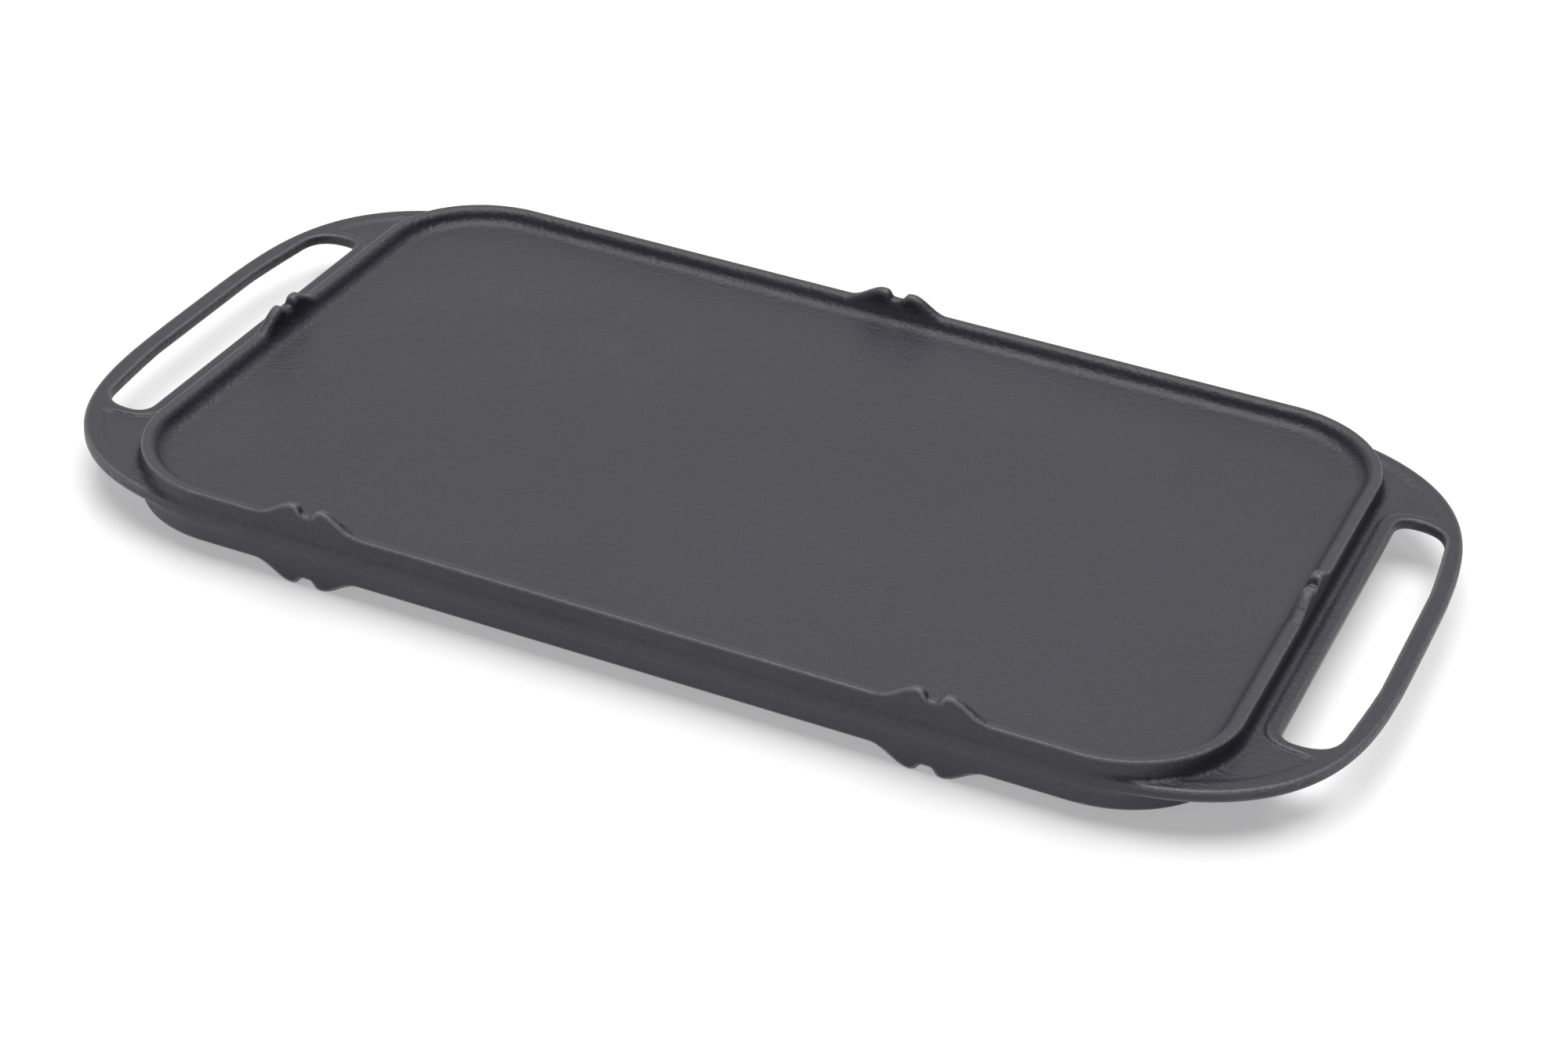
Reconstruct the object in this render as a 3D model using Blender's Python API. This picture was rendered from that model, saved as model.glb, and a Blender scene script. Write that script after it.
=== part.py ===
"""Cast-iron hob griddle with two loop handles, poured as one piece.

Metres, +Z up. X runs along the length, +Y to the back. The griddle stands
on its five lower lugs at Z = 0, and the origin is under its middle.
"""
import math

import bmesh
import bpy

# ---- pan ----
HALF_L = 0.2300         # half length over the rim
HALF_W = 0.1440         # half width over the rim
CORNER_R = 0.0490       # plan radius of the rim corners
PAN_H = 0.0215          # lower rim crown to upper rim crown
RIM_T = 0.0050          # rim thickness near its crown
RIM_R = 0.0014          # rounding of the rim crown
TRAY_D = 0.0060         # cooking surface below the upper crown
PLATE_T = 0.0050        # thickness of the cooking plate
PART_D = 0.0099         # parting line below the upper crown
FLARE = 0.0012          # how far the outer wall leans out to the parting line
COVE_W = 0.0080         # width of the cove at the foot of the rim, on both faces
COVE_H = 0.0045         # height of that cove

# ---- lugs: one notched hump above the rim and its mirror below ----
LUG_RISE = 0.0070       # height of the plain hump
LUG_HALF = 0.0230       # half length of the hump at the rim
LUG_SHOULDER = 0.0065   # where the hump reaches full height
NOTCH_D = 0.0034        # depth of the notch in the middle of the hump
NOTCH_HALF = 0.0034     # half width of the notch at half depth
LUG_LEAN = 0.03         # how fast the hump thins on its outer face
LUG_LEAN_IN = 0.07      # and on its inner face
FRONT_LUGS = (-0.1340, 0.1260)
BACK_LUGS = (-0.0015,)
SIDE_LUGS = (0.0,)      # one on each short side
LUG_STEPS = (0.0018, 0.0028, 0.0037, 0.0048, 0.0066, 0.0097, 0.0133, 0.0175)

# ---- handles ----
TIP_X = 0.2752          # half length over the handles
ROOT_X = 0.1830         # where the handle outline leaves the long wall
ROOT_Y = 0.1440
SHAPE_P, SHAPE_R = 2.05, 3.75   # exponents of the outline curve
RING_D = 0.0074         # raised ring below the upper crown
RING_T = 0.0050         # thickness of the raised ring
RECESS = 0.0009         # how far the pockets sit below the ring, on both faces
EDGE_R = 0.0009         # rounding of the ring's edges
GRIP_W = 0.0081         # width of the grip bar
BORDER_W = 0.0075       # width of the ring along the outer edge
SLOT_X = 0.2415         # inner edge of the finger slot
SLOT_Y = 0.0888         # half length of the finger slot
BAR_X = 0.2352          # inner edge of the ring beside the pan
POCKET_Y = 0.0945       # end of each corner pocket, at its outer corner
POCKET_FALL = 0.0025    # how much nearer the middle that end is at the pan
POCKET_R = 0.0016       # plan radius of the pocket's outer corner
BAR_R = 0.0100          # plan radius where the ring turns along the pan
SINK = 0.0030           # how far the handles run into the pan wall

CORNER_STEPS = 12
NAME = "griddle_casting"


def clear_scene():
    for obj in list(bpy.data.objects):
        bpy.data.objects.remove(obj, do_unlink=True)


def new_collection(name, shown=True):
    group = bpy.data.collections.new(name)
    bpy.context.scene.collection.children.link(group)
    group.hide_render = not shown
    return group


def iron():
    mat = bpy.data.materials.new("cast_iron_black")
    mat.use_nodes = True
    shader = mat.node_tree.nodes["Principled BSDF"]
    shader.inputs["Base Color"].default_value = (0.035, 0.034, 0.038, 1.0)
    shader.inputs["Roughness"].default_value = 0.55
    shader.inputs["Metallic"].default_value = 0.35
    return mat


# ---------------------------------------------------------------- the pan
def lug_height(u):
    """Height of the lug profile at distance u from the middle of its notch."""
    u = abs(u)
    if u >= LUG_HALF:
        return 0.0
    t = min(1.0, (LUG_HALF - u) / (LUG_HALF - LUG_SHOULDER))
    hump = LUG_RISE * t * t * (3.0 - 2.0 * t)
    return hump - NOTCH_D / (1.0 + (u / NOTCH_HALF) ** 6) * min(1.0, 3.0 * t)


def side_stations(centres, reverse):
    """Positions along one straight side, each with its lug height."""
    out = []
    for c in centres:
        us = [0.0, -LUG_HALF, LUG_HALF]
        us += [s * u for u in LUG_STEPS for s in (-1, 1)]
        out += [(c + u, lug_height(u)) for u in us]
    return sorted(out, reverse=reverse)


def stations():
    """Core point, outward direction and lug height, once round the rim."""
    kx, ky = HALF_L - CORNER_R, HALF_W - CORNER_R
    out = [((s, -ky), (0.0, -1.0), h) for s, h in side_stations(FRONT_LUGS, False)]
    out += corner(kx, -ky, -90.0)
    out += [((kx, s), (1.0, 0.0), h) for s, h in side_stations(SIDE_LUGS, False)]
    out += corner(kx, ky, 0.0)
    out += [((s, ky), (0.0, 1.0), h) for s, h in side_stations(BACK_LUGS, True)]
    out += corner(-kx, ky, 90.0)
    out += [((-kx, s), (-1.0, 0.0), h) for s, h in side_stations(SIDE_LUGS, True)]
    out += corner(-kx, -ky, 180.0)
    return out


def corner(cx, cy, start):
    out = []
    for i in range(CORNER_STEPS + 1):
        a = math.radians(start + 90.0 * i / CORNER_STEPS)
        out.append(((cx, cy), (math.cos(a), math.sin(a)), 0.0))
    return out


def arc(cx, cz, rx, rz, start, end, steps):
    pts = []
    for i in range(steps + 1):
        a = math.radians(start + (end - start) * i / steps)
        pts.append((cx + rx * math.cos(a), cz + rz * math.sin(a)))
    return pts


def half_section(depth, tray):
    """One half of the rim section, from the parting line to the flat plate.

    Each entry is (inset from the rim, distance from the crown, lug side):
    side 1 follows the lug on the outer face, 2 on the inner face, 0 stays.
    """
    rows = [(-FLARE, depth, 0)]
    rows += [(x, z, 1) for x, z in arc(RIM_R, RIM_R, RIM_R, RIM_R, 180, 270, 3)]
    inner = arc(RIM_T - RIM_R, RIM_R, RIM_R, RIM_R, 270, 360, 3)
    rows += [(x, z, 2) for x, z in inner]
    rows += [(x, z, 0) for x, z in
             arc(RIM_T + 0.0003 + COVE_W, tray - COVE_H, COVE_W, COVE_H, 180, 90, 4)]
    return rows


def make_pan(coll):
    """Loft the section round the rim, then close the plate on both faces."""
    top = half_section(PART_D - 0.0003, TRAY_D)
    low_tray = PAN_H - TRAY_D - PLATE_T
    low = half_section(PAN_H - PART_D - 0.0003, low_tray)
    rings = [(x, -z, side, 1.0) for x, z, side in reversed(top)]
    rings += [(x, z - PAN_H, side, -1.0) for x, z, side in low]
    bm = bmesh.new()
    loops = []
    for inset, z, side, way in rings:
        loop = []
        for (cx, cy), (nx, ny), lug in stations():
            lean = (0.0, LUG_LEAN, -LUG_LEAN_IN)[side] * lug
            r = CORNER_R - inset - lean
            rise = way * lug if side else 0.0
            loop.append(bm.verts.new((cx + nx * r, cy + ny * r, z + rise)))
        loops.append(loop)
    for upper, lower in zip(loops, loops[1:]):
        for i, vert in enumerate(upper):
            bm.faces.new((upper[i - 1], lower[i - 1], lower[i], vert))
    bm.faces.new(loops[0])
    bm.faces.new(loops[-1][::-1])
    bmesh.ops.recalc_face_normals(bm, faces=bm.faces)
    return finish(bm, NAME, coll)


# ------------------------------------------------------------- the handles
def outline(inset=0.0, steps=40):
    """Outer edge of the right handle from front to back, moved inwards."""
    half = []
    for i in range(steps + 1):
        y = ROOT_Y * math.sin(0.5 * math.pi * i / steps)
        bulge = max(0.0, 1.0 - (y / ROOT_Y) ** SHAPE_R) ** (1.0 / SHAPE_P)
        half.append((ROOT_X + (TIP_X - ROOT_X) * bulge, y))
    pts = [(x, -y) for x, y in reversed(half[1:])] + half
    if not inset:
        return pts
    moved = []
    for a, p, b in zip(pts, pts[1:], pts[2:]):
        dx, dy = b[0] - a[0], b[1] - a[1]
        d = math.hypot(dx, dy)
        moved.append((p[0] - inset * dy / d, p[1] + inset * dx / d))
    return moved


def wall_line(inset, steps=14):
    """Rim outline of the right end from back to front, moved inwards."""
    r = CORNER_R - inset
    cx, cy = HALF_L - CORNER_R, HALF_W - CORNER_R
    turn = [math.radians(90.0 * i / steps) for i in range(steps + 1)]
    back = [(cx + r * math.cos(a), cy + r * math.sin(a)) for a in reversed(turn)]
    return back + [(x, -y) for x, y in reversed(back)]


def fillet(a, p, b, radius, steps=7):
    """Points of the arc that rounds corner p of the path a, p, b."""
    ua, ub = unit(p, a), unit(p, b)
    half = 0.5 * math.acos(ua[0] * ub[0] + ua[1] * ub[1])
    mid = unit((0.0, 0.0), (ua[0] + ub[0], ua[1] + ub[1]))
    hub = radius / math.sin(half)
    c = (p[0] + mid[0] * hub, p[1] + mid[1] * hub)
    run = radius / math.tan(half)
    start = math.atan2(p[1] + ua[1] * run - c[1], p[0] + ua[0] * run - c[0])
    end = math.atan2(p[1] + ub[1] * run - c[1], p[0] + ub[0] * run - c[0])
    sweep = (end - start + math.pi) % (2.0 * math.pi) - math.pi
    angles = [start + sweep * k / steps for k in range(steps + 1)]
    return [(c[0] + radius * math.cos(g), c[1] + radius * math.sin(g)) for g in angles]


def round_corners(points, radii):
    """Closed polygon with each corner replaced by an arc of its own radius."""
    out = []
    for i, radius in enumerate(radii):
        after = points[(i + 1) % len(points)]
        out += fillet(points[i - 1], points[i], after, radius)
    return out


def unit(a, b):
    d = math.hypot(b[0] - a[0], b[1] - a[1])
    return (b[0] - a[0]) / d, (b[1] - a[1]) / d


def slot_line(grow=0.0):
    """Finger slot; grow moves its edge outwards, into the ring."""
    x0, x1, y = SLOT_X - grow, TIP_X - GRIP_W + grow, SLOT_Y + grow
    knee = 0.0460
    pts = [(x0, -y), (x1 - 0.0048, -y), (x1, -knee), (x1, knee), (x1 - 0.0048, y), (x0, y)]
    return round_corners(pts, (0.0075, 0.0125, 0.0600, 0.0600, 0.0125, 0.0075))


def pocket_edge():
    """Inner edge of the raised ring, from the back root to the front root."""
    border = [p for p in outline(BORDER_W) if p[1] > 0.0]
    below = [p for p in border if p[1] <= POCKET_Y][-1]
    side = [p for p in border if p[1] > POCKET_Y + 2.0 * POCKET_R]
    t = (POCKET_Y - below[1]) / (side[0][1] - below[1])
    tip = (below[0] + t * (side[0][0] - below[0]), POCKET_Y)
    knee = (BAR_X, POCKET_Y - POCKET_FALL)
    half = side[::-1] + fillet(side[0], tip, knee, POCKET_R, 4)
    half += fillet(tip, knee, (BAR_X, 0.0), BAR_R)
    return half + [(x, -y) for x, y in reversed(half)]


def plate(name, lines, z_mid, thick, edge, coll):
    """Flat plate from closed outlines (holes inside), with rounded edges."""
    curve = bpy.data.curves.new(name, "CURVE")
    curve.dimensions = "2D"
    curve.fill_mode = "BOTH"
    curve.extrude = 0.5 * thick - edge
    curve.bevel_depth = edge
    curve.bevel_resolution = 1
    curve.offset = -edge
    for line in lines:
        spline = curve.splines.new("POLY")
        spline.points.add(len(line) - 1)
        for point, (x, y) in zip(spline.points, line):
            point.co = (x, y, 0.0, 1.0)
        spline.use_cyclic_u = True
    helper = bpy.data.objects.new(name, curve)
    coll.objects.link(helper)
    bpy.context.view_layer.update()
    graph = bpy.context.evaluated_depsgraph_get()
    mesh = bpy.data.meshes.new_from_object(helper.evaluated_get(graph))
    bpy.data.objects.remove(helper, do_unlink=True)
    bm = bmesh.new()
    bm.from_mesh(mesh)
    bpy.data.meshes.remove(mesh)
    bmesh.ops.remove_doubles(bm, verts=bm.verts, dist=0.00002)
    bmesh.ops.translate(bm, verts=bm.verts, vec=(0.0, 0.0, z_mid))
    bmesh.ops.recalc_face_normals(bm, faces=bm.faces)
    return finish(bm, name, coll)


def make_handle(coll, sign):
    """Web and raised ring of one handle; sign -1 gives the left one."""
    z_mid = -RING_D - 0.5 * RING_T
    wall = wall_line(SINK)
    rim = [p for p in outline() if p[0] > ROOT_X + 0.0045]
    inner = [p for p in pocket_edge() if outside_wall(p, SINK)]
    root = [p for p in wall if ROOT_X < p[0] < inner[0][0] and p[1] > 0]
    root = [(ROOT_X - 0.003, ROOT_Y - 0.0015), (ROOT_X - 0.007, ROOT_Y - 0.004)] + root
    ring = rim + root + inner + [(x, -y) for x, y in reversed(root)]
    web_rim = [p for p in outline(0.0030) if outside_wall(p, SINK)]
    web = web_rim + [p for p in wall if p[0] > web_rim[0][0] + 0.001]
    solids = []
    parts = (("ring", [ring, slot_line()], RING_T, EDGE_R),
             ("web", [web, slot_line(0.0026)], RING_T - 2.0 * RECESS, 0.0))
    for label, lines, thick, edge in parts:
        lines = [[(sign * x, y) for x, y in line] for line in lines]
        solids.append(plate(label + "_tool", lines, z_mid, thick, edge, coll))
    return solids


def outside_wall(p, inset):
    """True where a point lies outside the rim outline moved inwards."""
    cx, cy = HALF_L - CORNER_R, HALF_W - CORNER_R
    qx, qy = max(abs(p[0]) - cx, 0.0), max(abs(p[1]) - cy, 0.0)
    return math.hypot(qx, qy) > CORNER_R - inset


# ----------------------------------------------------------------- helpers
def finish(bm, name, coll):
    mesh = bpy.data.meshes.new(name)
    bm.to_mesh(mesh)
    bm.free()
    obj = bpy.data.objects.new(name, mesh)
    coll.objects.link(obj)
    return obj


def join_solid(target, tool):
    mod = target.modifiers.new("union", "BOOLEAN")
    mod.operation = "UNION"
    mod.solver = "EXACT"
    mod.object = tool
    bpy.context.view_layer.update()
    graph = bpy.context.evaluated_depsgraph_get()
    mesh = bpy.data.meshes.new_from_object(target.evaluated_get(graph))
    target.modifiers.clear()
    target.data = mesh
    bpy.data.objects.remove(tool, do_unlink=True)


def settle(obj):
    """Tidy the mesh, put the lowest lug on Z = 0 and shade it."""
    bm = bmesh.new()
    bm.from_mesh(obj.data)
    bmesh.ops.remove_doubles(bm, verts=bm.verts, dist=0.00003)
    bmesh.ops.dissolve_degenerate(bm, edges=bm.edges, dist=0.00003)
    bmesh.ops.triangulate(bm, faces=bm.faces, ngon_method="BEAUTY")
    low = min(v.co.z for v in bm.verts)
    bmesh.ops.translate(bm, verts=bm.verts, vec=(0.0, 0.0, -low))
    bm.to_mesh(obj.data)
    bm.free()
    for poly in obj.data.polygons:
        poly.use_smooth = True
    obj.data.set_sharp_from_angle(angle=math.radians(35.0))


def main():
    clear_scene()
    shown = new_collection("hob_griddle")
    tools = new_collection("tools", shown=False)
    casting = make_pan(shown)
    for sign in (1.0, -1.0):
        for solid in make_handle(tools, sign):
            solid.display_type = "WIRE"
            join_solid(casting, solid)
    settle(casting)
    casting.data.materials.clear()
    casting.data.materials.append(iron())


main()
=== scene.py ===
import math

import bmesh
import bpy
import numpy as np
from mathutils import Matrix, Vector


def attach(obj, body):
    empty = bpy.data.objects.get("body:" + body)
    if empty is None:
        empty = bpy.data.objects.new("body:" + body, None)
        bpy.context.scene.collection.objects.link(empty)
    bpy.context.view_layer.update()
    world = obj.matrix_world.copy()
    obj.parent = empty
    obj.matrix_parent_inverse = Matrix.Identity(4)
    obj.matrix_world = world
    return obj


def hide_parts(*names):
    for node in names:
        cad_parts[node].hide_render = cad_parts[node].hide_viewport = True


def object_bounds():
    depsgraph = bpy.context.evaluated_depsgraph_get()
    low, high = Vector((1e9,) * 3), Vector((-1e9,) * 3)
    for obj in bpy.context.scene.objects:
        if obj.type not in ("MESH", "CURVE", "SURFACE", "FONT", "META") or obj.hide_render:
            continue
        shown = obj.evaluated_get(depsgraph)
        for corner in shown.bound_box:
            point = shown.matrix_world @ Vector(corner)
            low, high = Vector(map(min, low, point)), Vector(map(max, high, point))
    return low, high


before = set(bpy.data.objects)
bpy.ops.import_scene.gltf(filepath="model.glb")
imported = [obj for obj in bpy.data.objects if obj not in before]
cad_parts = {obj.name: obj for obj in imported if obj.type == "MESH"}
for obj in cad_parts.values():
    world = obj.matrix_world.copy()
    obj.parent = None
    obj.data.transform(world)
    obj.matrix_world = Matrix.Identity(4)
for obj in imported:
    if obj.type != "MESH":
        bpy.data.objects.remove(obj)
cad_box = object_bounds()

# ---- the pan, the same sizes as the CAD ----
HALF_L = 0.2300         # half length over the rim
HALF_W = 0.1440         # half width over the rim
CORNER_R = 0.0490       # plan radius of the rim corners
PAN_H = 0.0215          # lower rim crown to upper rim crown
RIM_T = 0.0053          # rim thickness near its crown
RIM_R = 0.0008          # rounding of the rim's outer edges
RIM_R_IN = 0.0024       # rounding of its inner edges
TRAY_D = 0.0060         # cooking surface below the upper crown
PLATE_T = 0.0050        # thickness of the cooking plate
PART_D = 0.0099         # parting line below the upper crown
PART_BLEND = 0.5        # how softly the two leans of the wall meet there
FLARE = 0.0012          # how far the outer wall leans out to the parting line
COVE = 0.0078           # blend between the rim and the plate
DISH = 0.0005           # how far the plate climbs towards the cove
DISH_W = 0.0240         # width of that climb

# ---- lugs ----
LUG_RISE = 0.0070       # height of the plain hump
LUG_HALF = 0.0230       # half length of the hump at the rim
LUG_SHOULDER = 0.0065   # where the hump reaches full height
NOTCH_D = 0.0034        # depth of the notch
NOTCH_HALF = 0.0034     # half width of the notch at half depth
NOTCH_POWER = 6         # how square the notch is
NOTCH_FADE = 3.0        # how soon the notch fades in from the end of the hump
LUG_LEAN = 0.03         # how fast the hump thins on its outer face
LUG_LEAN_IN = 0.07      # and on its inner face
FRONT_LUGS = (-0.1340, 0.1260)  # their middles along the long sides
BACK_LUGS = (-0.0015,)
LONG_SIDE_Y = 0.0900    # the lugs of the long sides lie further out than this
SHORT_SIDE_X = 0.1800   # and those of the short sides further out than this
SLOPE_STEP = 0.0005     # spacing used to take the slope of a lug

# ---- handles ----
TIP_X = 0.2752          # half length over the handles
ROOT_X = 0.1830         # where the handle outline leaves the long wall
ROOT_Y = 0.1440         # half width there
SHAPE_P, SHAPE_R = 2.05, 3.75   # exponents of the outline curve
OUTLINE_CAP = 1.2       # the curve is held level beyond this share of ROOT_Y
LEAST_SLOPE = 6.0       # keeps the outline distance finite at its flat middle
SINK = 0.0020           # how far the handles run into the wall
RING_D = 0.0074         # raised ring below the upper crown
RING_T = 0.0050         # thickness of the raised ring
RECESS = 0.0009         # depth of the pockets below the ring
STEP_W = 0.0013         # width of the slope between ring and pocket
BAR_STEP_W = 0.0034     # the same, beside the pan
EDGE_R = 0.0012         # rounding of the handle's edges
BORDER_W = 0.0080       # width of the ring along the outer edge
BORDER_SOFT = 3.0       # how much wider the slope is along that ring
GRIP_W = 0.0081         # width of the grip bar
SLOT_X = 0.2415         # inner edge of the finger slot
SLOT_Y = 0.0888         # half length of the finger slot
SLOT_BOW = 0.0048       # how far the slot's outer edge comes in at its ends
BOW_START = 0.0360      # where it starts to come in
BOW_POWER, BOW_CAP = 1.3, 1.5   # shape of that curve, and its limit
SLOT_R_OUT = 0.0130     # plan rounding of the slot's outer corners
SLOT_R_IN = 0.0080      # and of its inner corners
BAR_X = 0.2352          # inner edge of the ring beside the pan
BAR_R = 0.0120          # plan rounding where the ring turns along the pan
POCKET_X = 0.2560       # outer corner of each corner pocket
POCKET_Y = 0.0945       # end of each pocket at that corner
POCKET_FALL = 0.12      # how that end comes nearer the middle towards the pan
POCKET_R = 0.0020       # plan rounding of the corner
BESIDE_INSET = 0.0060   # the wide slope beside the pan starts this far in
BESIDE_FADE = 0.0160    # and fades in over this length
ROOT_FILLET = 0.0030    # blend between the handle and the wall

# ---- meshing ----
CELL = 0.0008           # size of the mesh cells
FLAT_INSET = 0.0300     # the plate is plain flat further in than this
MARGIN = (0.002, 0.004, 0.002)  # of the grid round the casting
SETTLE_ROUNDS = 3       # steps that pull the points onto the surface
SETTLE_STEP = 0.00004   # spacing used to take the field's gradient
LEAST_GRADIENT = 0.05   # the least square of it, so that a step stays short
CROWN_Z = 0.0284        # upper crown above the floor

# ---- iron: colours, scales of its noises and heights of its bumps ----
IRON_DARK = (0.0290, 0.0270, 0.0400, 1.0)
IRON_LIGHT = (0.0340, 0.0315, 0.0460, 1.0)
# worn colour: real wear on sharp edges, also laid on as painted highlight lines there and as
# painted sheen on the rim top
IRON_WEAR_AND_SHEEN = (0.2200, 0.2150, 0.2300, 1.0)
EDGE_WEAR_AND_HIGHLIGHT = 0.8         # how much of the worn colour shows on sharp edges: real wear, and painted highlight lines along them as well
EDGE_POINT = (0.505, 0.560)     # pointiness over which it comes in there
CROWN_SHEEN = 0.07       # painted sheen: how much of the worn colour shows on the level top of the rim
CROWN_BAND = (0.0010, 0.0002)   # depths below the crown over which it comes in
CROWN_LEVEL = (0.80, 0.98)      # and how level the surface has to be for it
CLOUD_SCALE = 9.0
NOISE_SPREAD = (0.30, 0.70)     # part of each noise that is used
SPECK_GAIN = (0.90, 1.10)       # the grain makes the colour darker and lighter
POLISH_SCALE, POLISH = 60.0, (0.40, 0.46)
SWELL_SCALE, SWELL_H = 130.0, 0.00022
SKIN_SCALE, SKIN_H = 430.0, 0.00042
GRAIN_SCALE, GRAIN_H = 1100.0, 0.00008

# ---- floor ----
FLOOR_SIZE = 12.0
FLOOR_GAP = 0.0002      # below the lowest lugs
FLOOR_COLOUR = (0.82, 0.82, 0.82, 1.0)
FLOOR_TINT = (1.0, 0.99, 1.0, 1.0)      # colour of its faint glow
TABLE_GLOW = 0.36       # strength of that glow
FLOOR_POLISH_SCALE, FLOOR_POLISH = 6.0, (0.175, 0.185)
SPECULAR = 0.50         # of both materials

# ---- studio light, as world directions and strengths ----
UP = (0.0, 0.0, 1.0)
TOP_PATCH = (-0.07, 0.20, 0.98)
BACK_WALL = (-0.45, 0.88, 0.15)
FRONT_WALL = (-0.15, -0.98, 0.0)
RIGHT_SIDE = (1.0, 0.0, 0.1)
TOP_SPREAD = (0.820, 0.930)     # cosines between which a light comes in
BACK_SPREAD = (0.50, 0.95)
FRONT_SPREAD = (0.20, 0.80)
BACK_HIGH = (0.50, 0.75, 1.0, 0.45)     # the back wall is dimmer higher up
BACK_RIGHT = (0.20, 0.90, 1.0, 0.20)    # and further right
FRONT_HIGH = (0.10, 0.40, 1.0, 0.0)     # the front wall is low
TOP_GLOW = 3.5
WALL_GLOW = 0.70
ROOM_GLOW = 0.14
FRONT_GLOW = 0.80

# ---- camera, in the frame whose zero is the upper rim crown ----
SENSOR_W = 36.0         # mm
LENS = 77.26            # mm
CAM_AZIMUTH = 21.19     # degrees
CAM_ELEVATION = 31.49
CAM_ROLL = 4.28
CAM_DISTANCE = 1.3188
CAM_TARGET = (0.0291, -0.0545)


# ------------------------------------------------------------- field helpers
def smooth_max(a, b, k):
    """Larger of two distances with the crease rounded over about k."""
    h = np.clip(0.5 - 0.5 * (b - a) / k, 0.0, 1.0)
    return b + (a - b) * h + k * h * (1.0 - h)


def smooth_min(a, b, k):
    """Smaller of two distances, rounded over in the same way."""
    return -smooth_max(-a, -b, k)


def smooth_step(x):
    """Rises smoothly from 0 to 1 as x does."""
    x = np.clip(x, 0.0, 1.0)
    return x * x * (3.0 - 2.0 * x)


def rounded_box(a, b, r):
    """Distance to a corner between two faces at distances a and b, radius r."""
    out = np.hypot(np.maximum(a + r, 0.0), np.maximum(b + r, 0.0))
    return out + np.minimum(np.maximum(a, b) + r, 0.0) - r


def rim_distance(x, y):
    """Plan distance to the rim outline, negative inside."""
    qx = np.abs(x) - (HALF_L - CORNER_R)
    qy = np.abs(y) - (HALF_W - CORNER_R)
    out = np.hypot(np.maximum(qx, 0.0), np.maximum(qy, 0.0))
    return out + np.minimum(np.maximum(qx, qy), 0.0) - CORNER_R


# ------------------------------------------------------------------- the pan
def lug_profile(u):
    """Height of one notched lug at distance u from the middle of its notch."""
    u = np.abs(u)
    t = np.clip((LUG_HALF - u) / (LUG_HALF - LUG_SHOULDER), 0.0, 1.0)
    fade = np.minimum(1.0, NOTCH_FADE * t)
    notch = NOTCH_D / (1.0 + (u / NOTCH_HALF) ** NOTCH_POWER) * fade
    return LUG_RISE * t * t * (3.0 - 2.0 * t) - notch


def lug_rise(x, y):
    """Height of the rim crown over its plain level."""
    front = sum(lug_profile(x - c) for c in FRONT_LUGS) * (y < -LONG_SIDE_Y)
    back = sum(lug_profile(x - c) for c in BACK_LUGS) * (y > LONG_SIDE_Y)
    side = lug_profile(y) * (np.abs(x) > SHORT_SIDE_X)
    return front + back + side


def crown_stretch(x, y):
    """Length along the sloping crown for each unit of plan length."""
    span = 2.0 * SLOPE_STEP
    sx = (lug_rise(x + SLOPE_STEP, y) - lug_rise(x - SLOPE_STEP, y)) / span
    sy = (lug_rise(x, y + SLOPE_STEP) - lug_rise(x, y - SLOPE_STEP)) / span
    return np.sqrt(1.0 + sx * sx + sy * sy)


def wall_lean(z):
    """How far the outer wall stands out at height z, most at the parting line."""
    down = np.clip(-z, 0.0, PAN_H)
    below = (PAN_H - down) / (PAN_H - PART_D)
    return FLARE * smooth_min(down / PART_D, below, PART_BLEND)


def pan_field(x, y, z, q):
    """Rim wall with its lugs, joined to the cooking plate by a cove."""
    rise = lug_rise(x, y)
    over = np.maximum(z, 0.0) + np.maximum(-PAN_H - z, 0.0)
    outer = q - wall_lean(z) + LUG_LEAN * over
    inner = -RIM_T - q + LUG_LEAN_IN * over
    ends = np.maximum(z - rise, -PAN_H - rise - z) / crown_stretch(x, y)
    dish = DISH * np.clip(1.0 + (q + RIM_T) / DISH_W, 0.0, 1.0) ** 2
    plate = np.abs(z + TRAY_D + 0.5 * PLATE_T) - 0.5 * PLATE_T - dish
    inner = smooth_min(inner, plate, COVE)
    return np.maximum(rounded_box(outer, ends, RIM_R), rounded_box(inner, ends, RIM_R_IN))


# --------------------------------------------------------------- the handles
def outline_distance(x, y):
    """Plan distance to the handle outline, close to true near the edge."""
    u = np.maximum(x - ROOT_X, 0.0) / (TIP_X - ROOT_X)
    v = np.minimum(np.abs(y) / ROOT_Y, OUTLINE_CAP)
    value = u ** SHAPE_P + v ** SHAPE_R - 1.0
    gx = SHAPE_P * u ** (SHAPE_P - 1.0) / (TIP_X - ROOT_X)
    gy = SHAPE_R * v ** (SHAPE_R - 1.0) / ROOT_Y
    return value / np.maximum(np.hypot(gx, gy), LEAST_SLOPE)


def slot_distance(x, y):
    """Plan distance to the finger slot's edge, negative in the slot."""
    along = (np.abs(y) - BOW_START) / (SLOT_Y - BOW_START)
    bow = SLOT_BOW * np.clip(along, 0.0, BOW_CAP) ** BOW_POWER
    outer = smooth_max(np.abs(y) - SLOT_Y, x - (TIP_X - GRIP_W - bow), SLOT_R_OUT)
    return smooth_max(outer, SLOT_X - x, SLOT_R_IN)


def pocket_distance(x, y, outline):
    """Negative over the sunk areas between the ring and the pan wall."""
    end = POCKET_Y - POCKET_FALL * np.maximum(POCKET_X - x, 0.0)
    bar = smooth_max(BAR_X - x, np.abs(y) - end, BAR_R)
    return smooth_max((outline + BORDER_W) / BORDER_SOFT, -bar, POCKET_R)


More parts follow.
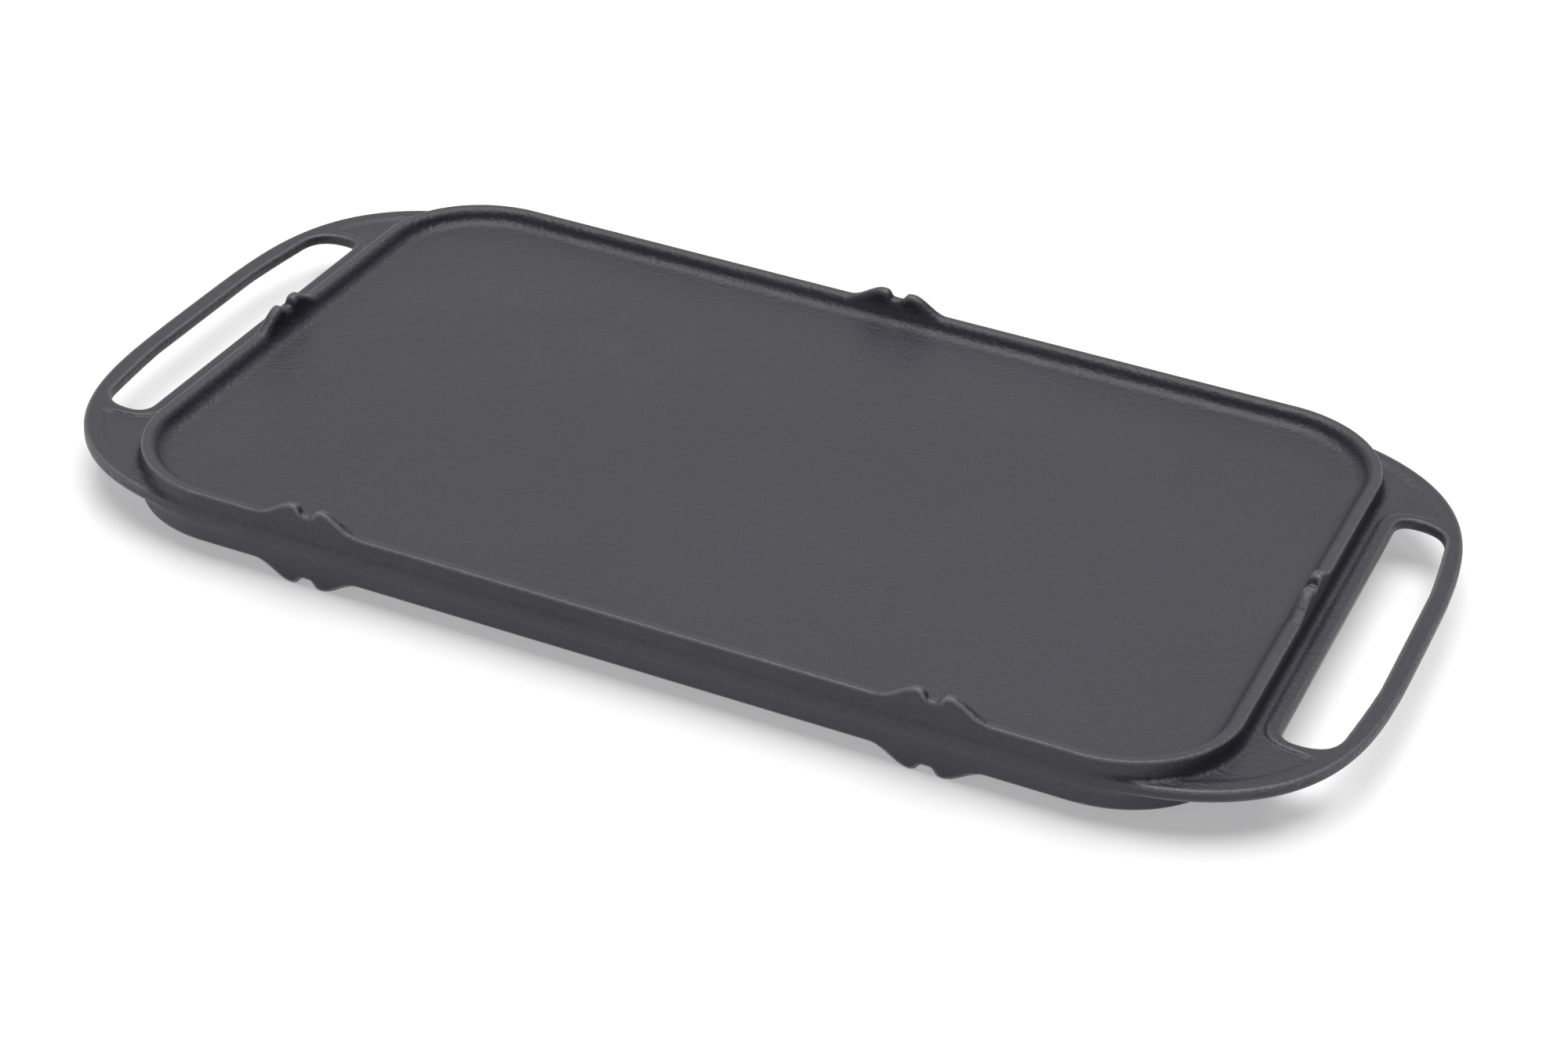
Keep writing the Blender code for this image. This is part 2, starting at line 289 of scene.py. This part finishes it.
def handle_field(x, y, z, q):
    """Both loop handles, with their slots and the pockets on both faces."""
    x = np.abs(x)
    outline = outline_distance(x, y)
    beside = smooth_step((POCKET_Y - BESIDE_INSET - np.abs(y)) / BESIDE_FADE)
    step = STEP_W + (BAR_STEP_W - STEP_W) * beside
    sunk = smooth_step(0.5 - pocket_distance(x, y, outline) / step)
    half = 0.5 * RING_T - RECESS * sunk
    plan = np.maximum(outline, -slot_distance(x, y))
    level = np.abs(z + RING_D + 0.5 * RING_T) - half
    return np.maximum(rounded_box(plan, level, EDGE_R), -(q + SINK))


def casting_field(x, y, z):
    """Distance to the surface of the whole casting, z from the upper crown."""
    q = rim_distance(x, y)
    pan = pan_field(x, y, z, q)
    handle = handle_field(x, y, z, q)
    return smooth_min(pan, handle, ROOT_FILLET)


# ------------------------------------------------------------------- meshing
def cell_points(field, lo, cell, active):
    """One point in each active cell: the mean of its edge crossings."""
    i, j, k = active
    corners = [(a, b, c) for a in (0, 1) for b in (0, 1) for c in (0, 1)]
    value = {c: field[i + c[0], j + c[1], k + c[2]].astype(float) for c in corners}
    total = np.zeros((len(i), 3))
    count = np.zeros(len(i))
    for axis in range(3):
        for a in (c for c in corners if c[axis] == 0):
            b = tuple(v + (n == axis) for n, v in enumerate(a))
            cut = (value[a] < 0.0) != (value[b] < 0.0)
            t = np.where(cut, value[a] / np.where(cut, value[a] - value[b], 1.0), 0.0)
            point = np.tile(np.array(a, float), (len(i), 1))
            point[:, axis] += t
            total += point * cut[:, None]
            count += cut
    return np.array(lo) + cell * (np.stack(active, 1) + total / count[:, None])


def cell_quads(inside, number):
    """A quad round every grid edge that crosses the surface, facing outwards."""
    quads = []
    for axis in range(3):
        side, other = (axis + 1) % 3, (axis + 2) % 3
        near = np.moveaxis(inside, (axis, side, other), (0, 1, 2))
        cells = np.moveaxis(number, (axis, side, other), (0, 1, 2))
        cut = near[:-1, 1:-1, 1:-1] != near[1:, 1:-1, 1:-1]
        i, j, k = np.nonzero(cut)
        ring = np.stack([cells[i, j, k], cells[i, j + 1, k],
                         cells[i, j + 1, k + 1], cells[i, j, k + 1]], 1)
        out = near[i, j + 1, k + 1]
        quads.append(np.where(out[:, None], ring, ring[:, ::-1]))
    return np.concatenate(quads)


def settle_on_surface(points, cell):
    """Moves points onto the zero level along the field's gradient."""
    step = SETTLE_STEP
    for _ in range(SETTLE_ROUNDS):
        x, y, z = points.T
        grad = np.stack([
            casting_field(x + step, y, z) - casting_field(x - step, y, z),
            casting_field(x, y + step, z) - casting_field(x, y - step, z),
            casting_field(x, y, z + step) - casting_field(x, y, z - step),
        ], 1) / (2.0 * step)
        size = np.maximum((grad * grad).sum(1), LEAST_GRADIENT)
        move = -casting_field(x, y, z)[:, None] * grad / size[:, None]
        length = np.linalg.norm(move, axis=1, keepdims=True)
        points = points + move * np.minimum(1.0, 0.5 * cell / np.maximum(length, 1e-9))
    return points


def sample_field(cell):
    """The field on a regular grid round the casting, and the grid's low corner."""
    lo = np.array((-TIP_X, -HALF_W, -PAN_H - LUG_RISE)) - MARGIN
    hi = np.array((TIP_X, HALF_W, LUG_RISE)) + MARGIN
    counts = np.ceil((hi - lo) / cell).astype(int) + 1
    axes = [lo[n] + cell * np.arange(counts[n]) for n in range(3)]
    field = np.empty(counts, np.float32)
    for k, z in enumerate(axes[2]):
        field[:, :, k] = casting_field(axes[0][:, None], axes[1][None, :], z)
    return lo, field


def crossed_cells(inside):
    """The cells that the surface passes through: those with mixed corners."""
    nx, ny, nz = (n - 1 for n in inside.shape)
    corners = sum(inside[a:a + nx, b:b + ny, c:c + nz].astype(np.uint8)
                  for a in (0, 1) for b in (0, 1) for c in (0, 1))
    return (corners > 0) & (corners < 8)


def mesh_casting(cell):
    """Points and quads of the casting, open where the plate is plain flat."""
    lo, field = sample_field(cell)
    inside = field < 0.0
    crossed = crossed_cells(inside)
    active = np.nonzero(crossed)
    number = np.full(crossed.shape, -1, np.int64)
    number[active] = np.arange(len(active[0]))
    points = settle_on_surface(cell_points(field, lo, cell, active), cell)
    quads = cell_quads(inside, number)
    deep = rim_distance(points[:, 0], points[:, 1]) < -FLAT_INSET
    quads = quads[~deep[quads].all(1)]
    used, quads = np.unique(quads, return_inverse=True)
    return points[used], quads.reshape(-1, 4)


def close_flats(mesh):
    """Fills the open middle of the plate with flat triangles, above and below."""
    bm = bmesh.new()
    bm.from_mesh(mesh)
    rims = [e for e in bm.edges if e.is_boundary]
    bmesh.ops.holes_fill(bm, edges=rims, sides=0)
    bmesh.ops.recalc_face_normals(bm, faces=bm.faces)
    flats = [f for f in bm.faces if len(f.verts) > 4]
    bmesh.ops.triangulate(bm, faces=flats)
    bm.to_mesh(mesh)
    bm.free()


def build_casting(cell):
    """The visible casting, standing at the same height as the CAD's."""
    points, quads = mesh_casting(cell)
    points[:, 2] -= points[:, 2].min() - cad_box[0].z
    mesh = bpy.data.meshes.new("griddle")
    mesh.from_pydata(points.tolist(), [], quads.tolist())
    close_flats(mesh)
    mesh.shade_smooth()
    obj = bpy.data.objects.new("griddle", mesh)
    bpy.context.scene.collection.objects.link(obj)
    return obj


# ----------------------------------------------------------------- materials
class Nodes:
    """Short calls for one material's or world's node tree."""

    def __init__(self, owner, shader):
        owner.use_nodes = True
        self.tree = owner.node_tree
        self.shader = self.tree.nodes[shader]

    def add(self, kind, **values):
        """A new node of this kind with its settings."""
        node = self.tree.nodes.new(kind)
        for key, value in values.items():
            setattr(node, key, value)
        return node

    def feed(self, socket, value):
        """Links a socket to the input, or sets a plain value on it."""
        if isinstance(value, bpy.types.NodeSocket):
            self.tree.links.new(value, socket)
        else:
            socket.default_value = value

    def noise(self, place, scale, detail=2.0, rough=0.5):
        """A noise between 0 and 1 at this place."""
        node = self.add("ShaderNodeTexNoise")
        self.feed(node.inputs["Vector"], place)
        self.feed(node.inputs["Scale"], scale)
        self.feed(node.inputs["Detail"], detail)
        self.feed(node.inputs["Roughness"], rough)
        return node.outputs["Fac"]

    def fit(self, value, from_lo, from_hi, to_lo, to_hi):
        """The value moved smoothly from one range to another."""
        node = self.add("ShaderNodeMapRange", interpolation_type="SMOOTHSTEP")
        for name, number in (("Value", value), ("From Min", from_lo), ("From Max", from_hi),
                             ("To Min", to_lo), ("To Max", to_hi)):
            self.feed(node.inputs[name], number)
        return node.outputs["Result"]

    def math(self, operation, a, b=0.0):
        """One sum, product or comparison of two values."""
        node = self.add("ShaderNodeMath", operation=operation)
        self.feed(node.inputs[0], a)
        self.feed(node.inputs[1], b)
        return node.outputs[0]

    def along(self, direction, axis):
        """How far a unit direction points along an axis, from -1 to 1."""
        node = self.add("ShaderNodeVectorMath", operation="DOT_PRODUCT")
        self.feed(node.inputs[0], direction)
        self.feed(node.inputs[1], Vector(axis).normalized())
        return node.outputs["Value"]

    def mix(self, factor, a, b, blend="MIX"):
        """Colour b laid over colour a by a factor."""
        node = self.add("ShaderNodeMix", data_type="RGBA", blend_type=blend)
        self.feed(node.inputs["Factor"], factor)
        self.feed(node.inputs["A"], a)
        self.feed(node.inputs["B"], b)
        return node.outputs["Result"]

    def bump(self, height, distance, normal=None):
        """The normal after a bump of this height, on top of an earlier bump."""
        node = self.add("ShaderNodeBump")
        self.feed(node.inputs["Height"], height)
        self.feed(node.inputs["Distance"], distance)
        self.feed(node.inputs["Strength"], 1.0)
        if normal is not None:
            self.feed(node.inputs["Normal"], normal)
        return node.outputs["Normal"]


def iron_material():
    """Matte seasoned iron: scaly skin, fine grain, faint clouds, paler edges (real wear and
    painted highlight lines) and a painted sheen on the level top of the rim.
    """
    material = bpy.data.materials.new("seasoned_cast_iron")
    n = Nodes(material, "Principled BSDF")
    place = n.add("ShaderNodeTexCoord").outputs["Object"]
    clouds = n.fit(n.noise(place, CLOUD_SCALE, 2.0, 0.5), *NOISE_SPREAD, 0.0, 1.0)
    grain = n.noise(place, GRAIN_SCALE, 2.0, 0.6)
    skin = n.noise(place, SKIN_SCALE, 3.0, 0.55)
    swell = n.noise(place, SWELL_SCALE, 2.0, 0.5)
    shape = n.add("ShaderNodeNewGeometry")
    # painted sheen: the worn colour laid on the level, upward-facing top of the rim
    low, high = (CROWN_Z - depth for depth in CROWN_BAND)
    crown = n.fit(n.along(place, UP), low, high, 0.0, 1.0)
    level = n.fit(n.along(shape.outputs["Normal"], UP), *CROWN_LEVEL, 0.0, CROWN_SHEEN)
    # sharp edges take the worn colour: real wear, and painted highlight lines as well
    wear_and_highlight = n.fit(shape.outputs["Pointiness"], *EDGE_POINT, 0.0, EDGE_WEAR_AND_HIGHLIGHT)
    wear_and_highlight = n.math("MAXIMUM", wear_and_highlight, n.math("MULTIPLY", crown, level))
    colour = n.mix(clouds, IRON_DARK, IRON_LIGHT)
    colour = n.mix(wear_and_highlight, colour, IRON_WEAR_AND_SHEEN)
    speck = n.fit(grain, *NOISE_SPREAD, *SPECK_GAIN)
    colour = n.mix(1.0, colour, speck, "MULTIPLY")
    n.feed(n.shader.inputs["Base Color"], colour)
    rough = n.fit(n.noise(place, POLISH_SCALE, 3.0, 0.6), *NOISE_SPREAD, *POLISH)
    n.feed(n.shader.inputs["Roughness"], rough)
    n.shader.inputs["Specular IOR Level"].default_value = SPECULAR
    normal = n.bump(swell, SWELL_H)
    normal = n.bump(skin, SKIN_H, normal)
    normal = n.bump(grain, GRAIN_H, normal)
    n.feed(n.shader.inputs["Normal"], normal)
    return material


def floor_material():
    """White acrylic that glows a little, like a light table."""
    material = bpy.data.materials.new("white_acrylic")
    n = Nodes(material, "Principled BSDF")
    n.shader.inputs["Base Color"].default_value = FLOOR_COLOUR
    n.shader.inputs["Emission Color"].default_value = FLOOR_TINT
    n.shader.inputs["Emission Strength"].default_value = TABLE_GLOW
    place = n.add("ShaderNodeTexCoord").outputs["Object"]
    rough = n.fit(n.noise(place, FLOOR_POLISH_SCALE), *NOISE_SPREAD, *FLOOR_POLISH)
    n.feed(n.shader.inputs["Roughness"], rough)
    n.shader.inputs["Specular IOR Level"].default_value = SPECULAR
    return material


# --------------------------------------------------------------------- stage
def make_floor():
    """A wide floor just below the casting, shown and not exported."""
    bpy.ops.mesh.primitive_grid_add(x_subdivisions=8, y_subdivisions=8, size=FLOOR_SIZE)
    floor = bpy.context.object
    floor.name = "studio_floor"
    floor.location.z = cad_box[0].z - FLOOR_GAP
    floor.data.materials.append(floor_material())


def make_world():
    """A bright patch overhead, pale low walls and a dim room, dimmest on the right."""
    world = bpy.data.worlds.new("studio")
    bpy.context.scene.world = world
    n = Nodes(world, "Background")
    direction = n.add("ShaderNodeTexCoord").outputs["Generated"]
    height = n.along(direction, UP)
    top = n.fit(n.along(direction, TOP_PATCH), *TOP_SPREAD, 0.0, TOP_GLOW)
    back = n.fit(n.along(direction, BACK_WALL), *BACK_SPREAD, ROOM_GLOW, WALL_GLOW)
    back = n.math("MULTIPLY", back, n.fit(height, *BACK_HIGH))
    right = n.along(direction, RIGHT_SIDE)
    back = n.math("MULTIPLY", back, n.fit(right, *BACK_RIGHT))
    front = n.fit(n.along(direction, FRONT_WALL), *FRONT_SPREAD, 0.0, FRONT_GLOW)
    front = n.math("MULTIPLY", front, n.fit(height, *FRONT_HIGH))
    light = n.math("ADD", top, n.math("ADD", back, front))
    seen = n.add("ShaderNodeLightPath").outputs["Is Camera Ray"]
    hidden = n.math("MULTIPLY", light, n.math("SUBTRACT", 1.0, seen))
    n.shader.inputs["Color"].default_value = (1.0, 1.0, 1.0, 1.0)
    n.feed(n.shader.inputs["Strength"], n.math("ADD", hidden, seen))


def make_camera(crown_z):
    """A long lens from the front right, a little above the casting."""
    azimuth, elevation = math.radians(CAM_AZIMUTH), math.radians(CAM_ELEVATION)
    back = Vector((math.sin(azimuth) * math.cos(elevation),
                   -math.cos(azimuth) * math.cos(elevation), math.sin(elevation)))
    camera = bpy.data.cameras.new("camera")
    camera.sensor_width = SENSOR_W
    camera.lens = LENS
    camera.clip_start, camera.clip_end = 0.05, 50.0
    obj = bpy.data.objects.new("camera", camera)
    bpy.context.scene.collection.objects.link(obj)
    aim = (-back).to_track_quat("-Z", "Y").to_matrix()
    turn = Matrix.Rotation(math.radians(CAM_ROLL), 3, "Z")
    target = Vector((*CAM_TARGET, crown_z))
    obj.matrix_world = Matrix.Translation(target + back * CAM_DISTANCE) @ (aim @ turn).to_4x4()
    bpy.context.scene.camera = obj


def make_all():
    """The casting on its body, then what surrounds it."""
    scene = bpy.context.scene
    scene.view_settings.view_transform = "Standard"
    crown_z = cad_box[0].z + CROWN_Z
    griddle = build_casting(CELL)
    griddle.data.materials.append(iron_material())
    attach(griddle, "root")
    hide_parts("griddle_casting")
    make_floor()
    make_world()
    make_camera(crown_z)


make_all()
